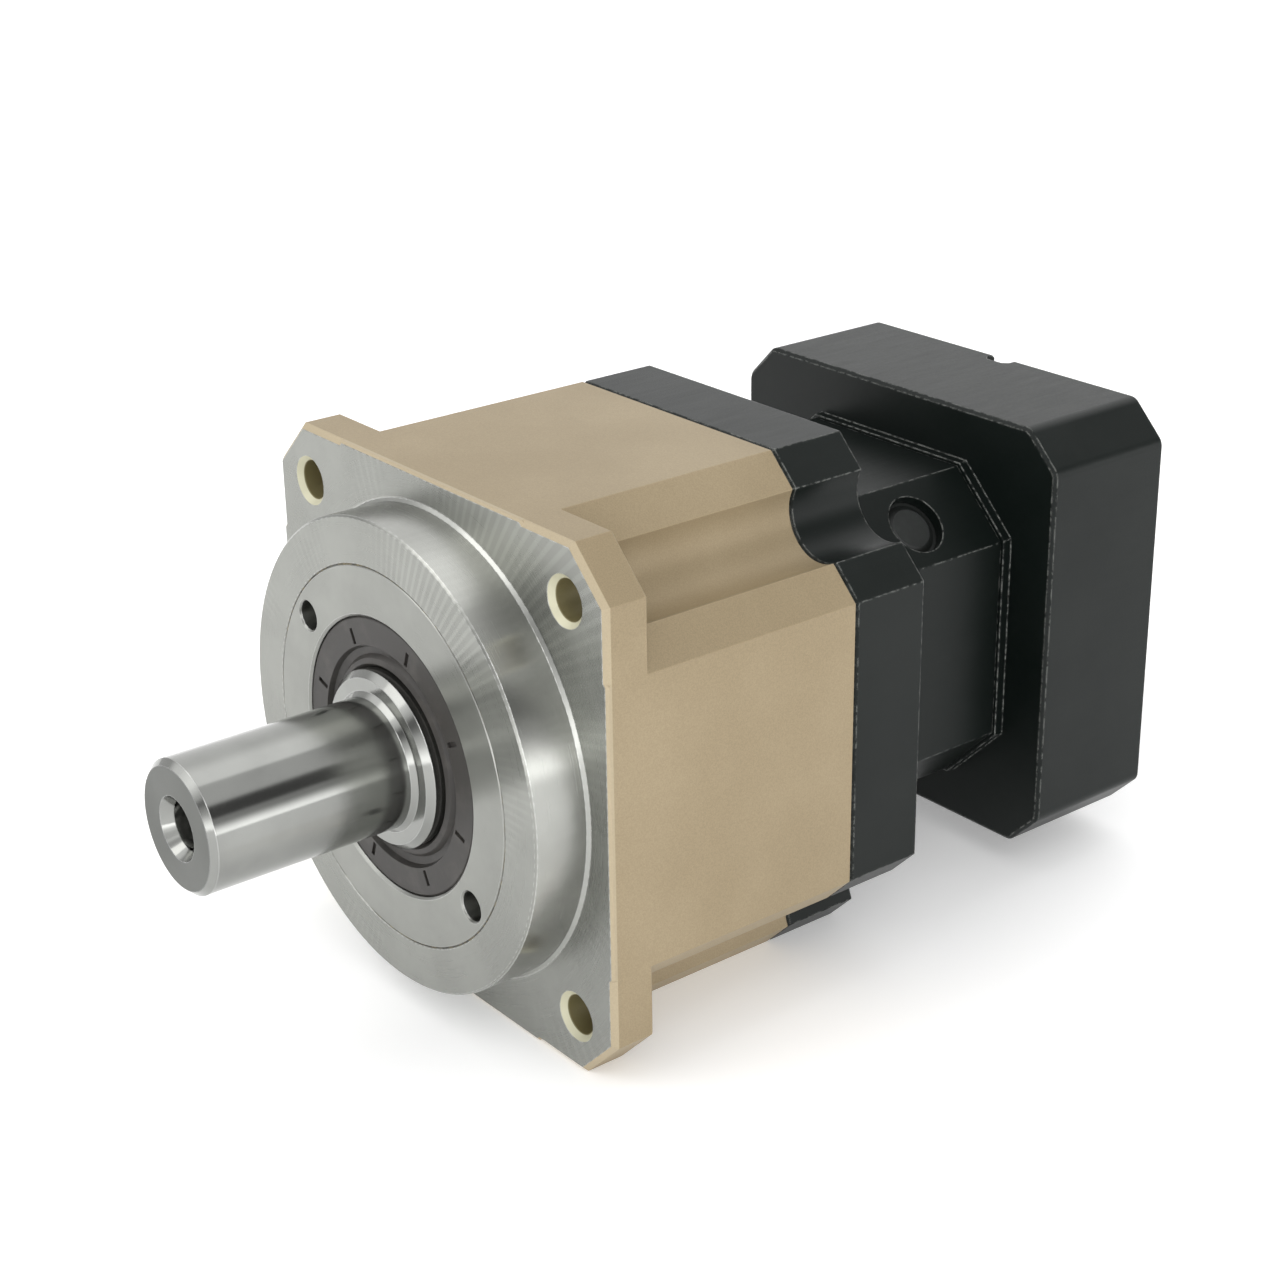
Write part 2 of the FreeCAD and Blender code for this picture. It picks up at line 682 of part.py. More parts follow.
def ring_gear():
    """Internally toothed ring pressed into the output housing."""
    angle = math.radians(first_planet_angle)
    gap_phase = ring_gap_phase(angle, planet_phase(angle, 0.0))
    blank = turned(ring_profile(20.0, ring_outer_r, ring_y0, ring_y1, 0.6))
    return blank.cut(internal_tooth_space(gap_phase, ring_y0 - 1, ring_y1 + 1))


# ------------------------------------------------------------ input shaft --
def input_shaft():
    """Sun gear, bearing seat and slotted motor hub in one piece."""
    journal = turned([(0, sun_y1), (stem_r, sun_y1), (stem_r, input_flange_y0),
                      (input_flange_r, input_flange_y0), (input_flange_r, input_bearing["y0"]),
                      (hub_r, input_bearing["y0"]),
                      (hub_r, input_bearing["y1"]), (14.3, input_bearing["y1"]),
                      (14.3, input_bearing["y1"] + 1.6), (hub_r, input_bearing["y1"] + 1.6),
                      (hub_r, hub_end_y - 0.5), (hub_r - 0.5, hub_end_y), (0, hub_end_y)])
    solid = journal.fuse(external_gear(sun_teeth, 0.0, sun_y0, sun_y1))
    bore = turned([(0, motor_bore_y0 - 2), (motor_bore_r - 2, motor_bore_y0),
                   (motor_bore_r, motor_bore_y0), (motor_bore_r, hub_end_y - 0.6),
                   (motor_bore_r + 0.6, hub_end_y), (motor_bore_r + 0.6, hub_end_y + 1),
                   (0, hub_end_y + 1)])
    solid = solid.cut(bore)
    slot = Part.makeBox(hub_slot_width, hub_end_y - hub_slot_y0 + 1, 2 * hub_r + 2,
                        FreeCAD.Vector(-hub_slot_width / 2, hub_slot_y0, -hub_r - 1))
    return cut_all(solid, [slot, turned_slot(slot)]).removeSplitter()


def turned_slot(slot):
    copy = slot.copy()
    copy.rotate(ORIGIN, AXIS, 90)
    return copy


def clamp_collar():
    """Collar round the slotted hub, threaded for the radial clamp screw."""
    ring = turned(ring_profile(hub_r, collar_outer_r, collar_y0, collar_y1))
    inside = polar(hub_r - 2, clamp_angle, clamp_y)
    hole = Part.makeCylinder(clamp_screw_r, 12, inside, access_direction())
    return ring.cut(hole)


def clamp_screw():
    """Radial hexagon-socket set screw that closes the slotted hub on the motor shaft."""
    base = polar(hub_r + 0.15, clamp_angle, clamp_y)
    length = clamp_screw_top_r - hub_r - 0.15
    screw = Part.makeCylinder(clamp_screw_r, length, base, access_direction())
    socket = hexagon(3.0, 0, 4)
    socket.rotate(ORIGIN, FreeCAD.Vector(0, 0, 1), -90)
    socket.rotate(ORIGIN, AXIS, -clamp_angle)
    socket.translate(polar(clamp_screw_top_r - 3.0, clamp_angle, clamp_y))
    return screw.cut(socket)


def access_plug():
    """Push-in plug that closes the clamp screw access hole, set a little below the surface."""
    surface = (neck_side - neck_corner) / math.sqrt(2)
    direction = access_direction()
    inner_r = surface - plug_recess - 4.5
    plug = Part.makeCylinder(access_hole_r, 4.5, polar(inner_r, clamp_angle, clamp_y), direction)
    base = polar(surface - plug_recess, clamp_angle, clamp_y)
    crown = Part.makeCone(access_hole_r - 0.6, access_hole_r - 1.8, 0.8, base, direction)
    return plug.fuse(crown).removeSplitter()


# --------------------------------------------------------------- fixings --
def housing_screws():
    screws = []
    for x, z in corner_positions(housing_screw_x, housing_screw_z):
        screws.append(socket_screw(2.5, 4.25, 5.0, rear_section_end_y - 5.6, 38, 4.0, x, z))
    return Part.makeCompound(screws)


def adapter_screws():
    screws = []
    offset = adapter_screw_circle_r / math.sqrt(2)
    for x, z in corner_positions(offset, offset):
        screws.append(socket_screw(2.5, 4.25, 5.0, 110, 92, 4.0, x, z))
    return Part.makeCompound(screws)


def housing_o_ring():
    """Round cord, squeezed into its face groove between the two housings."""
    half = o_ring_width / 2 - 0.1
    rear_y = seam_y + o_ring_depth - 0.05
    return turned(ring_profile(o_ring_r - half, o_ring_r + half, seam_y, rear_y, 0.25))


def build_parts():
    """All sub-parts by node name."""
    parts = {
        "output_housing": output_housing(),
        "ring_gear": ring_gear(),
        "rear_housing": rear_housing(),
        "motor_adapter": motor_adapter(),
        "retaining_ring": retaining_ring(),
        "output_seal": shaft_seal(seal_front_y, seal_rear_y, -1),
        "output_seal_spring": garter_spring(seal_front_y + garter_depth),
        "input_seal": shaft_seal(input_seal_y0, input_seal_y1, 1),
        "input_seal_spring": garter_spring(input_seal_y1 - garter_depth),
        "housing_o_ring": housing_o_ring(),
        "output_shaft": output_shaft(),
        "carrier_plate": carrier_plate(),
        "carrier_screws": carrier_screws(),
        "planet_pins": planet_pins(),
        "planet_washers": planet_washers(),
        "output_circlip": shaft_circlip(-3.15, -1.6, 14.3, 17.8),
        "bearing_spacer": tube(seal_journal_r, 18.5, front_bearing["y1"], rear_bearing["y0"]),
        "input_shaft": input_shaft(),
        "clamp_collar": clamp_collar(),
        "clamp_screw": clamp_screw(),
        "input_circlip": shaft_circlip(69.05, 70.55, 14.3, 17.8),
        "bearing_circlip": bore_circlip(58.25, 59.95, 21.4, 24.75),
        "access_plug": access_plug(),
        "housing_screws": housing_screws(),
        "adapter_screws": adapter_screws(),
    }
    bearings = {
        "front_bearing": front_bearing,
        "rear_bearing": rear_bearing,
        "input_bearing": input_bearing,
    }
    for name, b in bearings.items():
        parts[name + "_inner_ring"] = inner_ring(b)
        parts[name + "_outer_ring"] = outer_ring(b)
        parts[name + "_balls"] = balls(b)
        parts[name + "_cage"] = cage(b)
    for i, angle in enumerate(planet_angles(), start=1):
        parts["planet_gear_%d" % i] = planet_gear(angle)
        parts["planet_needles_%d" % i] = planet_needles(angle)
    return parts


os.makedirs("parts", exist_ok=True)
for name, shape in build_parts().items():
    shape.exportStep("parts/%s.step" % name)
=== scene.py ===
import math
import random

import bpy
from mathutils import Matrix, Vector


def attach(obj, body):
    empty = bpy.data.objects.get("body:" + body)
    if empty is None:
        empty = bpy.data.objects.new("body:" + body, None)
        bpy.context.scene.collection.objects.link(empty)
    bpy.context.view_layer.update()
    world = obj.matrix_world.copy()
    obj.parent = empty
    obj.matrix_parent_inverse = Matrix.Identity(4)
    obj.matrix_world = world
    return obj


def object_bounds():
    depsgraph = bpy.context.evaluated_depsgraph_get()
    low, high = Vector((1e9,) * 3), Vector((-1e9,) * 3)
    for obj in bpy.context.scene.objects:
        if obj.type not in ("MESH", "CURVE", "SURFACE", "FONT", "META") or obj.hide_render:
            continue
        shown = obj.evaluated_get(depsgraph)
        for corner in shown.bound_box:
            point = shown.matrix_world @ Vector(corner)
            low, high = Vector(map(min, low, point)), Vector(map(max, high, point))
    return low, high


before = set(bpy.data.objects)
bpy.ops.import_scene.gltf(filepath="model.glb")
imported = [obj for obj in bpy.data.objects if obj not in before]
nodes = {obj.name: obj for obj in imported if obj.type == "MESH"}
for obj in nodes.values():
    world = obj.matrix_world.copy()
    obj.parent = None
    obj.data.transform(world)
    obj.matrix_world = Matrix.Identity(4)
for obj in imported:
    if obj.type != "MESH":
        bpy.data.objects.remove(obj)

# Inline planetary gear reducer. Row frame: metres, +Z up, gearbox axis along Y,
# output shaft towards -Y, origin at the centre of the flange's mounting face.

MM = 0.001
random.seed(7)
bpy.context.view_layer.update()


# ------------------------------------------------------------- node helper --
class Graph:
    """Writes a shader node tree as short expressions."""

    def __init__(self, tree):
        self.tree = tree
        tree.nodes.clear()

    def add(self, kind, settings=None, inputs=None):
        node = self.tree.nodes.new(kind)
        for name, value in (settings or {}).items():
            setattr(node, name, value)
        for name, value in (inputs or {}).items():
            self.put(node.inputs[name], value)
        return node

    def put(self, socket, value):
        """Links a socket to another node's output, or sets it to a constant."""
        if isinstance(value, bpy.types.NodeSocket):
            self.tree.links.new(value, socket)
        else:
            socket.default_value = value

    def math(self, operation, a, b=0.0, c=0.0, clamp=False):
        node = self.add("ShaderNodeMath", {"operation": operation, "use_clamp": clamp})
        for i, value in enumerate((a, b, c)):
            self.put(node.inputs[i], value)
        return node.outputs[0]

    def times(self, *values):
        result = values[0]
        for value in values[1:]:
            result = self.math("MULTIPLY", result, value)
        return result

    def plus(self, *values):
        result = values[0]
        for value in values[1:]:
            result = self.math("ADD", result, value)
        return result

    def step(self, value, low, high, to_low=0.0, to_high=1.0):
        """Smooth change from to_low to to_high as value goes from low to high."""
        node = self.add("ShaderNodeMapRange", {"interpolation_type": "SMOOTHSTEP"})
        for i, v in enumerate((value, low, high, to_low, to_high)):
            self.put(node.inputs[i], v)
        return node.outputs[0]

    def mix(self, factor, a, b, blend="MIX"):
        node = self.add("ShaderNodeMix", {"data_type": "RGBA", "blend_type": blend})
        self.put(node.inputs[0], factor)
        self.put(node.inputs[6], a)
        self.put(node.inputs[7], b)
        return node.outputs[2]

    def vector_math(self, operation, a, b=(0, 0, 0), scale=1.0):
        node = self.add("ShaderNodeVectorMath", {"operation": operation})
        self.put(node.inputs[0], a)
        if operation == "SCALE":
            self.put(node.inputs["Scale"], scale)
        else:
            self.put(node.inputs[1], b)
        return node

    def noise(self, vector, scale, detail=2.0, roughness=0.5):
        inputs = {"Vector": vector, "Scale": scale, "Detail": detail, "Roughness": roughness}
        return self.add("ShaderNodeTexNoise", inputs=inputs).outputs[0]

    def bump(self, height, distance_mm, strength=1.0, normal=None):
        inputs = {"Height": height, "Distance": distance_mm * MM, "Strength": strength}
        node = self.add("ShaderNodeBump", inputs=inputs)
        if normal is not None:
            self.put(node.inputs["Normal"], normal)
        return node.outputs[0]

    def position(self):
        """Position in the row frame in millimetres."""
        metres = self.add("ShaderNodeTexCoord").outputs["Object"]
        return self.vector_math("SCALE", metres, scale=1.0 / MM).outputs[0]

    def place(self):
        """Position in millimetres, its parts, and radius and angle about the gearbox axis."""
        mm = self.position()
        x, y, z = self.add("ShaderNodeSeparateXYZ", inputs={0: mm}).outputs
        radius = self.math("SQRT", self.plus(self.times(x, x), self.times(z, z)))
        angle = self.math("ARCTAN2", z, x)
        return mm, x, y, z, radius, angle

    def soft_edges(self, radius_mm, samples=4):
        """Rounded shading normal, and a mask that is 1 along the edges."""
        node = self.add("ShaderNodeBevel", {"samples": samples}, {"Radius": radius_mm * MM})
        rounded = node.outputs[0]
        flat = self.add("ShaderNodeNewGeometry").outputs["True Normal"]
        dot = self.vector_math("DOT_PRODUCT", rounded, flat).outputs["Value"]
        return rounded, self.step(dot, 0.985, 0.86)

    def principled(self, color, roughness, normal=None, metallic=0.0, fixed=None, tangent=None):
        inputs = {"Base Color": color, "Roughness": roughness, "Metallic": metallic}
        inputs.update(fixed or {})
        node = self.add("ShaderNodeBsdfPrincipled", inputs=inputs)
        if normal is not None:
            self.put(node.inputs["Normal"], normal)
        if tangent is not None:
            self.put(node.inputs["Tangent"], tangent)
        return node.outputs[0]

    def mix_shader(self, factor, a, b):
        node = self.add("ShaderNodeMixShader")
        for i, value in enumerate((factor, a, b)):
            self.put(node.inputs[i], value)
        return node.outputs[0]

    def output(self, shader):
        node = self.add("ShaderNodeOutputMaterial")
        self.put(node.inputs["Surface"], shader)


def new_material(name, rgb):
    """Material with an empty graph; rgb is its colour in the plain viewport."""
    material = bpy.data.materials.new(name)
    material.use_nodes = True
    material.diffuse_color = (*rgb, 1.0)
    return material, Graph(material.node_tree)


def grey(value):
    return (value, value, value, 1.0)


# --------------------------------------------------------- surface recipes --
SEAL_GROOVE_R = 32.0
PILOT_FRONT_Y = -10.0
HOLE_CIRCLE_R = 50.0
SHAFT_END_Y = -48.0
BARE_STEEL = (0.315, 0.32, 0.298, 1)
SHAFT_STEEL = (0.325, 0.33, 0.315, 1)


def lathe_tangent(g):
    """Direction of turning marks about the gearbox axis."""
    return g.add("ShaderNodeTangent", {"direction_type": "RADIAL", "axis": "Y"}).outputs[0]


def turning_marks(g, radius, y, angle, pitch_mm):
    """Height of fine tool marks that run round the gearbox axis."""
    along = g.math("ADD", radius, y)
    inputs = {"X": along, "Y": g.times(angle, 0.35), "Z": 0.0}
    spot = g.add("ShaderNodeCombineXYZ", inputs=inputs).outputs[0]
    coarse = g.noise(spot, 1.0 / pitch_mm, 3.0, 0.65)
    fine = g.noise(spot, 4.0 / pitch_mm, 2.0, 0.6)
    return g.plus(g.times(coarse, 0.7), g.times(fine, 0.3))


def turned_metal(g, tone, rough, pitch_mm=0.25, mark_depth_mm=0.004, aniso=0.8, chatter=0.0):
    """Bare metal faced or turned on a lathe: blurred across the tool marks, sharp along them."""
    mm, x, y, z, radius, angle = g.place()
    marks = turning_marks(g, radius, y, angle, pitch_mm)
    cloud = g.noise(mm, 0.06, 4.0, 0.6)
    rounded, edge = g.soft_edges(0.2)
    height = marks
    # Painted highlight: a pale-grey glint mixed into the colour along the edges.
    painted_edge_glint = g.times(edge, 0.55)
    if chatter > 0.0:
        # Chatter: radial beats, strongest in a fan at the upper right, that also break up the painted
        # edge highlight into dashes. The streaks' lighter colour is partly the real chatter marks and
        # partly a painted highlight, strongest in the upper-right fan where the light catches them.
        beats = g.math("SINE", g.plus(g.times(angle, 150.0), g.times(radius, 0.35)))
        fan = g.step(g.math("ABSOLUTE", g.math("SUBTRACT", angle, 1.05)), 0.65, 0.25)
        patches = g.math("MAXIMUM", fan, g.step(g.noise(mm, 0.045, 2.0, 0.5), 0.50, 0.62, 0.0, 0.4))
        height = g.plus(height, g.times(beats, patches, chatter))
        painted_edge_glint = g.times(painted_edge_glint, g.step(beats, -0.6, 0.4, 0.15, 1.3))
    normal = g.bump(height, mark_depth_mm, 1.0, rounded)
    dark = tuple(c * 0.88 for c in tone[:3]) + (1.0,)
    color = g.mix(g.step(cloud, 0.35, 0.65), dark, tone)
    if chatter > 0.0:
        # Painted highlight in part: the chatter streaks lightened in colour, most in the upper-right
        # fan.
        bright = tuple(c * 1.35 for c in tone[:3]) + (1.0,)
        color = g.mix(g.times(g.step(beats, -0.2, 0.8), patches, 0.3 * chatter), color, bright)
    # Painted highlight: the edges lightened to pale grey.
    color = g.mix(painted_edge_glint, color, grey(0.9))
    roughness = g.plus(rough - 0.06, g.times(marks, 0.08), g.times(cloud, 0.06))
    fixed = {"Anisotropic": aniso, "Anisotropic Rotation": 0.25}
    return g.principled(color, roughness, normal, 1.0, fixed, lathe_tangent(g))


def blasted_anodised(g, base, light, rough=0.5):
    """Matt anodised aluminium over a finely blasted surface."""
    mm = g.position()
    grain = g.noise(mm, 4.5, 3.0, 0.7)
    speck = g.noise(mm, 9.0, 1.0, 0.5)
    patch = g.noise(mm, 0.035, 3.0, 0.55)
    rounded, edge = g.soft_edges(0.35)
    color = g.mix(g.step(patch, 0.3, 0.7), base, light)
    color = g.mix(g.step(grain, 0.30, 0.72, 0.0, 0.35), color, grey(1.0), "SOFT_LIGHT")
    color = g.mix(g.step(speck, 0.66, 0.78, 0.0, 0.22), color, light)
    # Paler edges: partly edge wear, partly a painted highlight.
    pale = tuple(min(1.0, c * 1.45) for c in light[:3]) + (1.0,)
    color = g.mix(g.times(edge, 0.75), color, pale)
    height = g.plus(g.times(grain, 0.7), g.times(speck, 0.3))
    normal = g.bump(height, 0.03, 0.55, rounded)
    roughness = g.plus(rough - 0.05, g.times(grain, 0.10))
    return color, roughness, normal


def housing_material():
    """Champagne anodised body with bare turned faces in front of the flange face."""
    material, g = new_material("champagne_anodised_and_bare", (0.56, 0.50, 0.38))
    mm, x, y, z, radius, angle = g.place()
    color, roughness, normal = blasted_anodised(g, (0.265, 0.205, 0.120, 1), (0.30, 0.235, 0.142, 1))
    hole_wall_painted_shade = g.step(hole_distance(g, x, z), 3.45, 3.35)
    # Painted shade: the walls of the mounting holes darkened to olive.
    color = g.mix(g.times(hole_wall_painted_shade, 0.8), color, (0.15, 0.135, 0.055, 1))
    front_bevel = g.times(g.step(y, 1.1, 0.95), g.math("SUBTRACT", 1.0, hole_wall_painted_shade))
    color = g.mix(g.times(front_bevel, 0.30), color, (0.66, 0.58, 0.43, 1))
    hole_rim = g.times(front_bevel, g.step(hole_distance(g, x, z), 4.6, 4.4))
    color = g.mix(g.times(hole_rim, 0.75), color, (0.60, 0.60, 0.45, 1))
    anodised = g.principled(color, roughness, normal, 0.25, {"Specular IOR Level": 0.5})
    faced = turned_metal(g, BARE_STEEL, 0.27, 0.3, 0.003, 0.8, chatter=1.2)
    # Painted highlight: the pilot wall gets a brighter copy of the bare metal tone.
    pilot_wall = turned_metal(g, (0.43, 0.435, 0.41, 1), 0.25, 0.25, 0.0015, 0.85, chatter=0.15)
    bare = g.mix_shader(g.step(radius, 39.8, 39.95), faced, pilot_wall)
    bare = g.mix_shader(g.step(radius, 40.6, 40.9), bare, faced)
    is_bare = g.step(y, 0.06, 0.04)
    g.output(g.mix_shader(is_bare, anodised, bare))
    return material


def hole_distance(g, x, z):
    """Distance in the flange plane from the nearest of the four mounting holes."""
    offset = HOLE_CIRCLE_R / math.sqrt(2)
    dx = g.math("SUBTRACT", g.math("ABSOLUTE", x), offset)
    dz = g.math("SUBTRACT", g.math("ABSOLUTE", z), offset)
    return g.math("SQRT", g.plus(g.times(dx, dx), g.times(dz, dz)))


def black_material():
    """Black anodised aluminium, satin, with paler edges (partly rubbed wear, partly painted
    highlight) and a few bright specks.
    """
    material, g = new_material("black_anodised", (0.05, 0.055, 0.055))
    mm = g.position()
    grain = g.noise(mm, 3.2, 3.0, 0.7)
    broad = g.noise(mm, 0.05, 3.0, 0.55)
    streak = g.noise(g.vector_math("MULTIPLY", mm, (1.0, 0.12, 1.0)).outputs[0], 0.9, 3.0, 0.6)
    rounded, edge = g.soft_edges(0.45)
    color = g.mix(g.step(broad, 0.3, 0.7), (0.0035, 0.0058, 0.0050, 1), (0.006, 0.0085, 0.0075, 1))
    color = g.mix(g.step(grain, 0.64, 0.80, 0.0, 0.22), color, (0.10, 0.11, 0.105, 1))
    # Paler edges: partly rubbed wear, partly a painted highlight.
    rubbed_edge_and_highlight = g.times(edge, g.step(g.noise(mm, 0.9, 3.0, 0.6), 0.40, 0.60))
    color = g.mix(g.times(rubbed_edge_and_highlight, 0.8), color, (0.33, 0.34, 0.32, 1))
    height = g.plus(g.times(grain, 0.75), g.times(streak, 0.35))
    normal = g.bump(height, 0.035, 0.6, rounded)
    roughness = g.plus(0.26, g.times(grain, 0.16), g.times(streak, 0.10))
    g.output(g.principled(color, roughness, normal, 0.0, {"Specular IOR Level": 0.21}))
    return material


def shaft_material():
    """Ground shaft with a rougher faced end whose darker tone is painted shade, and a tapped centre
    hole.
    """
    material, g = new_material("ground_shaft", SHAFT_STEEL[:3])
    mm, x, y, z, radius, angle = g.place()
    ground = turned_metal(g, SHAFT_STEEL, 0.14, 0.12, 0.0012, 0.7)
    # Painted shade: the faced end gets a darker copy of the shaft steel tone.
    faced = turned_metal(g, (0.155, 0.16, 0.15, 1), 0.42, 0.2, 0.003, 0.5)
    end = g.step(y, SHAFT_END_Y + 0.07, SHAFT_END_Y + 0.02)
    turns = g.math("SINE", g.plus(g.times(y, 2 * math.pi / 1.25), angle))
    tapped = g.principled((0.16, 0.16, 0.15, 1), 0.35, g.bump(turns, 0.25), 1.0)
    in_thread = g.times(g.step(radius, 3.9, 3.7), g.step(y, SHAFT_END_Y + 4.8, SHAFT_END_Y + 5.0))
    g.output(g.mix_shader(in_thread, g.mix_shader(end, ground, faced), tapped))
    return material


def turned_material(name, tone, rough, pitch_mm, depth_mm, aniso, chatter=0.0):
    material, g = new_material(name, tone[:3])
    g.output(turned_metal(g, tone, rough, pitch_mm, depth_mm, aniso, chatter))
    return material


def rubber_material(name, tone):
    """Moulded nitrile rubber with a slight bloom."""
    material, g = new_material(name, tone[:3])
    mm = g.position()
    grain = g.noise(mm, 5.0, 3.0, 0.6)
    bloom = g.noise(mm, 0.25, 3.0, 0.6)
    pale = tuple(c * 2.2 for c in tone[:3]) + (1.0,)
    color = g.mix(g.step(bloom, 0.45, 0.75, 0.0, 0.5), tone, pale)
    rounded = g.soft_edges(0.15)[0]
    normal = g.bump(grain, 0.02, 0.5, rounded)
    g.output(g.principled(color, g.plus(0.42, g.times(grain, 0.15)), normal))
    return material


def plain_metal(name, tone, rough, metallic=1.0):
    """Polished or oxidised metal for small hidden parts, with wear along the edges."""
    material, g = new_material(name, tone[:3])
    mm = g.position()
    cloud = g.noise(mm, 0.5, 4.0, 0.6)
    scratch = g.noise(g.vector_math("MULTIPLY", mm, (9.0, 0.6, 9.0)).outputs[0], 1.0, 2.0, 0.6)
    rounded, edge = g.soft_edges(0.15)
    worn = tuple(min(1.0, c * 1.5 + 0.05) for c in tone[:3]) + (1.0,)
    color = g.mix(g.times(edge, 0.6), tone, worn)
    normal = g.bump(scratch, 0.003, 0.6, rounded)
    roughness = g.plus(rough - 0.04, g.times(cloud, 0.12))
    g.output(g.principled(color, roughness, normal, metallic))
    return material


def sealant_material():
    """Dried amber thread sealant."""
    material, g = new_material("amber_sealant", (0.35, 0.26, 0.12))
    mm = g.position()
    blotch = g.noise(mm, 0.8, 4.0, 0.6)
    color = g.mix(g.step(blotch, 0.45, 0.70), (0.014, 0.013, 0.007, 1), (0.20, 0.16, 0.07, 1))
    normal = g.bump(blotch, 0.05, 0.8)
    g.output(g.principled(color, 0.45, normal))
    return material


# ------------------------------------------------------------ mesh helpers --
def mesh_piece(name, vertices, faces, material, body):
    mesh = bpy.data.meshes.new(name)
    mesh.from_pydata(vertices, [], faces)
    mesh.validate()
    for polygon in mesh.polygons:
        polygon.use_smooth = True
    piece = bpy.data.objects.new(name, mesh)
    bpy.context.scene.collection.objects.link(piece)
    mesh.materials.append(material)
    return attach(piece, body)


def round_point(radius, angle, y):
    return (radius * math.cos(angle) * MM, y * MM, radius * math.sin(angle) * MM)


def sealant_bead(material):
    """Uneven bead of sealant in the groove between the pilot and the retaining ring."""
    around = 720
    across = 8
    waves = []
    for _ in range(14):
        waves.append((random.uniform(3, 60), random.uniform(0, 6.28), random.uniform(0.2, 1.0)))
    vertices = []
    for i in range(around):
        a = 2 * math.pi * i / around
        wobble = sum(w * math.sin(round(k) * a + p) for k, p, w in waves) / 6.0
        half = 0.25 + 0.05 * max(-1.0, min(1.5, wobble))
        for j in range(across):
            t = 2 * math.pi * j / across
            radius = SEAL_GROOVE_R + half * math.cos(t)
            depth = PILOT_FRONT_Y + 0.29 - 0.24 * math.sin(t) * (0.7 + 0.3 * wobble)
            vertices.append(round_point(radius, a, max(PILOT_FRONT_Y + 0.02, depth)))
    faces = ring_faces(around, across)
    return mesh_piece("sealant_bead", vertices, faces, material, "casing")


def ring_faces(around, across):
    """Quads of a closed tube of `around` sections with `across` points each."""
    faces = []
    for i in range(around):
        for j in range(across):
            a = i * across + j
            b = i * across + (j + 1) % across
            c = ((i + 1) % around) * across + (j + 1) % across
            d = ((i + 1) % around) * across + j
            faces.append((a, b, c, d))
    return faces


# ------------------------------------------------------------------ finish --
def give(material, *names):
    """Puts one material on whole CAD nodes."""
    for name in names:
        data = nodes[name].data
        data.materials.clear()
        data.materials.append(material)


def dress():
    """Materials for every node, and the small visual pieces."""
    give(housing_material(), "output_housing")
    give(black_material(), "rear_housing", "motor_adapter")
    ring = turned_material("turned_ring", BARE_STEEL, 0.28, 0.3, 0.003, 0.8)
    give(ring, "retaining_ring")
    give(shaft_material(), "output_shaft")
    turned = turned_material("turned_steel", SHAFT_STEEL, 0.22, 0.2, 0.002, 0.7)
    give(turned, "input_shaft", "clamp_collar", "carrier_plate", "bearing_spacer")
    rubber = rubber_material("seal_rubber", (0.030, 0.027, 0.024, 1))
    give(rubber, "output_seal", "input_seal", "housing_o_ring")
    give(rubber_material("black_plug", (0.010, 0.012, 0.011, 1)), "access_plug")
    steel = plain_metal("bearing_steel", (0.62, 0.62, 0.63, 1), 0.18)
    gear = plain_metal("gear_steel", (0.42, 0.42, 0.43, 1), 0.32)
    oxide = plain_metal("black_oxide", (0.035, 0.035, 0.036, 1), 0.38, 0.8)
    cage = rubber_material("cage_nylon", (0.55, 0.46, 0.30, 1))
    for bearing in ("front_bearing", "rear_bearing", "input_bearing"):
        give(steel, bearing + "_inner_ring", bearing + "_outer_ring", bearing + "_balls")
        give(cage, bearing + "_cage")
    for i in (1, 2, 3):
        give(gear, "planet_gear_%d" % i)
        give(steel, "planet_needles_%d" % i)
    give(gear, "ring_gear")
    give(steel, "planet_pins", "planet_washers", "output_seal_spring", "input_seal_spring")
    give(oxide, "housing_screws", "adapter_screws", "carrier_screws", "clamp_screw")
    give(oxide, "output_circlip", "input_circlip", "bearing_circlip")
    sealant_bead(sealant_material())


# ------------------------------------------------------------------ studio --
def floor(height):
    """Large pale floor, seen as a plain white ground."""
    half = 6.0
    mesh = bpy.data.meshes.new("floor")
    corners = []
    for x, y in ((-1, -1), (1, -1), (1, 1), (-1, 1)):
        corners.append((x * half, y * half, height))
    mesh.from_pydata(corners, [], [(0, 1, 2, 3)])
    piece = bpy.data.objects.new("floor", mesh)
    bpy.context.scene.collection.objects.link(piece)
    material, g = new_material("floor_white", (0.9, 0.9, 0.9))
    fixed = {"Emission Color": grey(1.0), "Emission Strength": 0.26}
    g.output(g.principled(grey(0.93), 0.9, fixed=fixed))
    mesh.materials.append(material)
    return piece


def softbox(name, position, target, size, power, tint=(1, 1, 1)):
    """Rectangular area light aimed at a point; positions in millimetres."""
    light = bpy.data.lights.new(name, "AREA")
    light.shape = "RECTANGLE"
    light.size = size[0] * MM
    light.size_y = size[1] * MM
    light.energy = power
    light.color = tint
    piece = bpy.data.objects.new(name, light)
    piece.location = Vector(position) * MM
    piece.rotation_mode = "QUATERNION"
    aim = (Vector(target) - Vector(position)).normalized()
    piece.rotation_quaternion = aim.to_track_quat("-Z", "Y")
    bpy.context.scene.collection.objects.link(piece)
    return piece


def towards(g, direction, middle, wide, narrow, outside, inside):
    """A value that changes from outside to inside near one direction of the sky."""
    nearness = g.vector_math("DOT_PRODUCT", direction, middle).outputs["Value"]
    return g.step(nearness, wide, narrow, outside, inside)


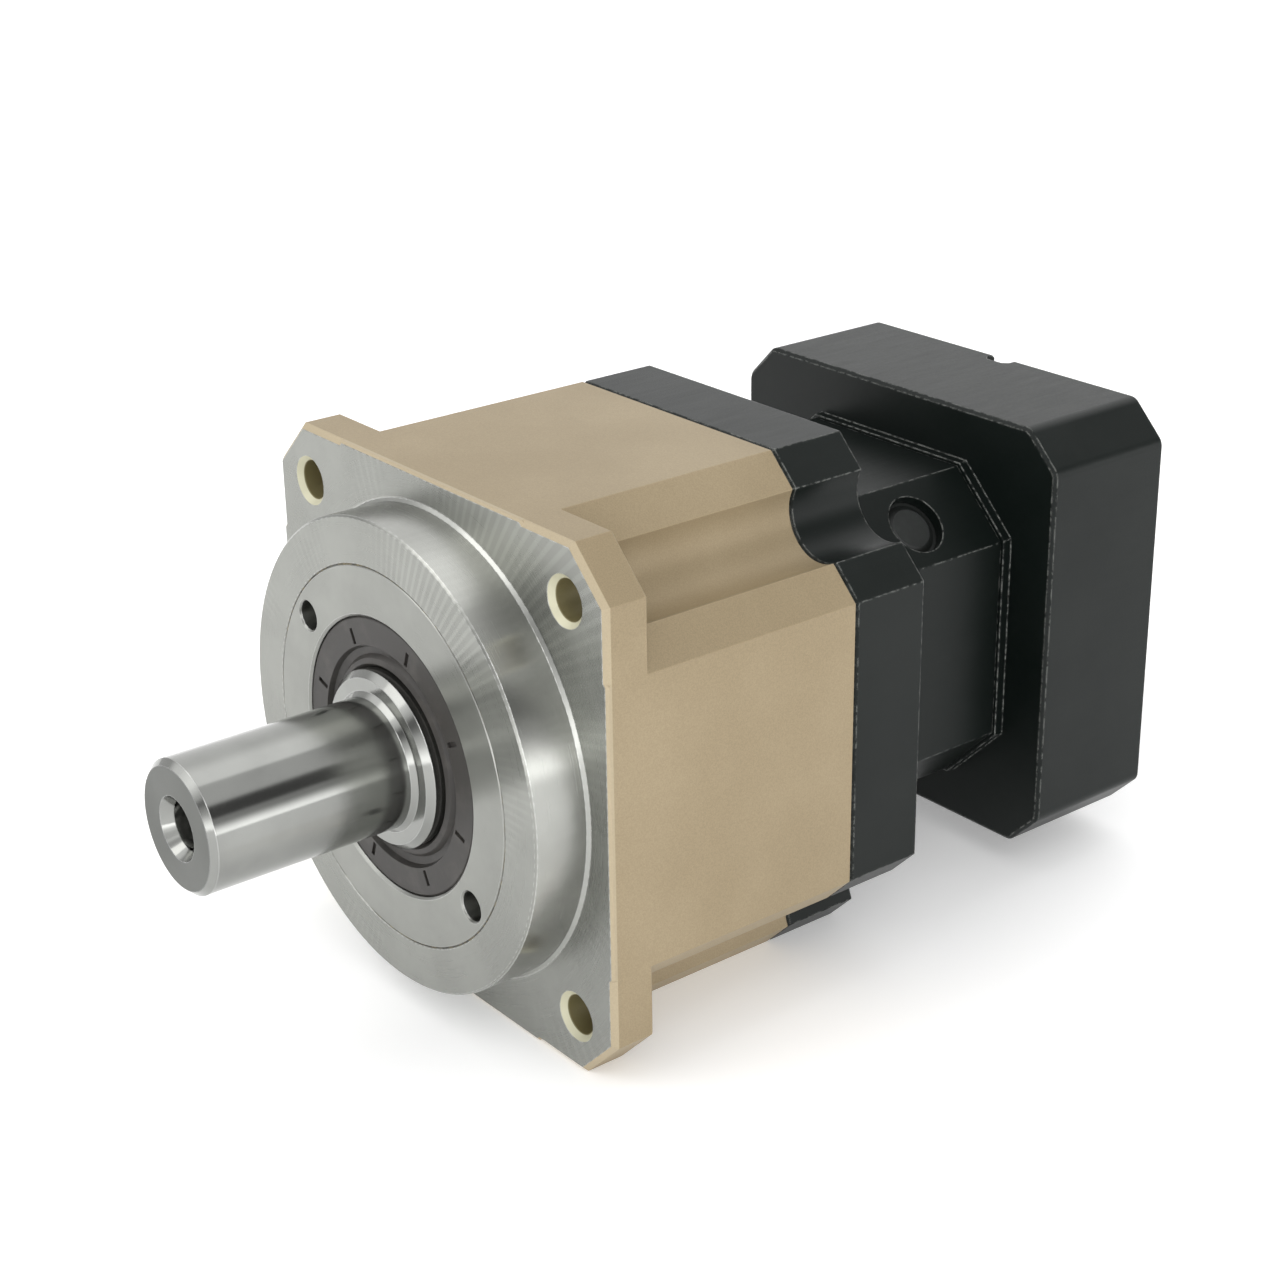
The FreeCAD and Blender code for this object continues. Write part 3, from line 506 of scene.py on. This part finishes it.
def studio_world():
    """Soft room: pale left half, dim right half, and a bright strip of wall above the horizon."""
    world = bpy.data.worlds.new("studio")
    world.use_nodes = True
    bpy.context.scene.world = world
    g = Graph(world.node_tree)
    direction = g.add("ShaderNodeTexCoord").outputs["Generated"]
    xyz = g.add("ShaderNodeSeparateXYZ", inputs={0: direction})
    x, y, z = xyz.outputs
    wall = g.step(z, 0.0, 0.30, 4.4, 0.75)
    dark_band = g.step(g.math("ABSOLUTE", g.math("SUBTRACT", z, 0.53)), 0.10, 0.17, 0.22, 1.0)
    upper = g.step(z, 0.60, 0.70, 1.0, 1.8)
    right_half = g.times(wall, dark_band, upper)
    left_half = g.times(g.step(x, -0.65, -0.25, 1.1, 1.5), g.step(y, 0.15, 0.45, 1.0, 1.7))
    is_left = g.step(x, 0.13, 0.08)
    level = g.plus(g.times(is_left, left_half), g.times(g.math("SUBTRACT", 1.0, is_left), right_half))
    front_left = towards(g, direction, (-0.45, -0.55, 0.70), 0.80, 0.95, 0.0, 1.2)
    near_camera = towards(g, direction, (0.72, -0.57, 0.39), 0.80, 0.97, 0.0, 1.5)
    level = g.plus(level, front_left, near_camera)
    strength = g.times(level, 0.66)
    background = g.add("ShaderNodeBackground", inputs={"Color": grey(1.0), "Strength": strength})
    output = g.add("ShaderNodeOutputWorld")
    g.put(output.inputs["Surface"], background.outputs[0])


def camera():
    """Three-quarter view from the front right, a little above."""
    azimuth = math.radians(51.667)
    elevation = math.radians(23.078)
    roll = math.radians(-0.881)
    distance = 411.98
    target = Vector((2.457, 40.0, 7.497))
    back = Vector((math.sin(azimuth) * math.cos(elevation), -math.cos(azimuth) * math.cos(elevation),
                   math.sin(elevation)))
    level_right = (-back).cross(Vector((0, 0, 1))).normalized()
    level_up = level_right.cross(-back)
    right = level_right * math.cos(roll) + level_up * math.sin(roll)
    up = level_up * math.cos(roll) - level_right * math.sin(roll)
    data = bpy.data.cameras.new("camera")
    data.sensor_width = 36.0
    data.lens = 68.12
    data.clip_start = 0.01
    data.clip_end = 30.0
    piece = bpy.data.objects.new("camera", data)
    bpy.context.scene.collection.objects.link(piece)
    turn = Matrix((right, up, back)).transposed()
    piece.matrix_world = Matrix.Translation((target + back * distance) * MM) @ turn.to_4x4()
    bpy.context.scene.camera = piece


def light_the_set():
    studio_world()
    centre = (0, 40, 0)
    softbox("key_softbox", (-220, -450, 650), centre, (400, 400), 0.6, (1.0, 0.985, 0.96))
    softbox("side_softbox", (560, -180, 560), centre, (400, 500), 0.75)


dress()
low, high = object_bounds()
floor(low.z - 0.00002)
light_the_set()
camera()
bpy.context.scene.view_settings.view_transform = "Standard"
